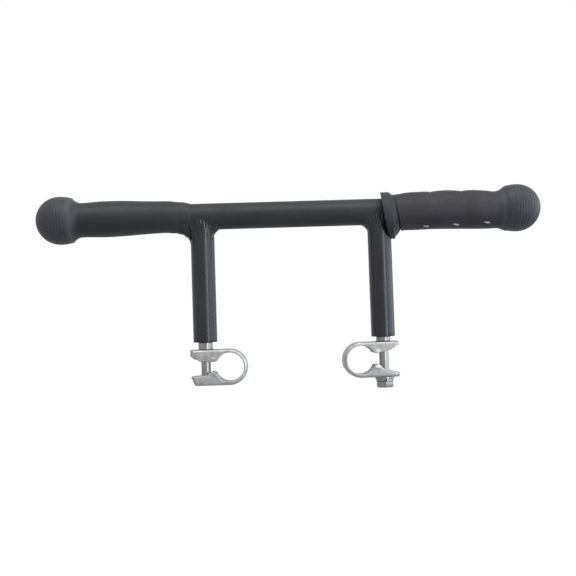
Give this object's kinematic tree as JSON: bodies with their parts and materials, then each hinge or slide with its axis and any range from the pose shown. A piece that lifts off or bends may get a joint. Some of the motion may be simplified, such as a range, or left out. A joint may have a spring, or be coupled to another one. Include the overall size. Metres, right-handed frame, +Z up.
{
  "type": "clamp-on handlebar",
  "caption": "Straight black handlebar with ball-ended rubber grips on two welded posts, each with a swivelling pressed-steel clamp that fastens it to a tube.",
  "frame": {"origin": "centre of the left clamp's round seat, on its axis and halfway along it", "axes": "+X along the bar, from the smooth grip to the grip with the collar; +Y along the clamp seats, away from the viewer; +Z up, from the clamps to the bar"},
  "size_m": [0.4274, 0.0404, 0.1691],
  "materials": {
    "gloss_black_paint": "gloss powder coat",
    "grip_rubber": "matte moulded rubber",
    "zinc_plate": "dull zinc plating on pressed steel",
    "bolt_steel": "bright zinc plating",
    "bare_steel": "bare machined and welded steel",
    "plug_plastic": "moulded polyethylene"
  },
  "bodies": {
    "bar": {"cross_tube": "gloss_black_paint", "left_grip": "grip_rubber", "right_grip": "grip_rubber", "left_tube_plug": "plug_plastic", "left_post": "gloss_black_paint", "left_post_weld": "gloss_black_paint", "left_insert": "bare_steel", "left_insert_weld": "bare_steel", "right_tube_plug": "plug_plastic", "right_post": "gloss_black_paint", "right_post_weld": "gloss_black_paint", "right_insert": "bare_steel", "right_insert_weld": "bare_steel"},
    "left_stack": {"left_spacer": "bolt_steel"},
    "left_bolt": {"left_bolt": "bolt_steel"},
    "left_clamp": {"left_clamp": "zinc_plate"},
    "right_stack": {"right_spacer": "bolt_steel", "right_flat_washer": "bolt_steel", "right_spring_washer": "bolt_steel"},
    "right_bolt": {"right_bolt": "bolt_steel"},
    "right_clamp": {"right_clamp": "zinc_plate"}
  },
  "joints": [
    {"name": "left_bolt_travel", "type": "slide", "parent": "bar", "child": "left_stack", "axis": [0, 0, -1], "range_m": [0, 0.01]},
    {"name": "left_bolt_turn", "type": "hinge", "parent": "left_stack", "child": "left_bolt", "pos_m": [-0.02, 0, 0], "axis": [0, 0, -1], "range_deg": [0, 2880]},
    {"name": "left_clamp_swivel", "type": "hinge", "parent": "left_stack", "child": "left_clamp", "pos_m": [-0.02, 0, 0], "axis": [0, 0, 1], "continuous": true},
    {"name": "right_bolt_travel", "type": "slide", "parent": "bar", "child": "right_stack", "axis": [0, 0, -1], "range_m": [0, 0.01]},
    {"name": "right_bolt_turn", "type": "hinge", "parent": "right_stack", "child": "right_bolt", "pos_m": [0.13, 0, 0], "axis": [0, 0, -1], "range_deg": [0, 2880]},
    {"name": "right_clamp_swivel", "type": "hinge", "parent": "right_stack", "child": "right_clamp", "pos_m": [0.13, 0, 0], "axis": [0, 0, 1], "continuous": true}
  ],
  "couplings": [
    {"joint": "left_bolt_turn", "follows": "left_bolt_travel", "rad_per_m": 5026.5},
    {"joint": "right_bolt_turn", "follows": "right_bolt_travel", "rad_per_m": 5026.5}
  ]
}
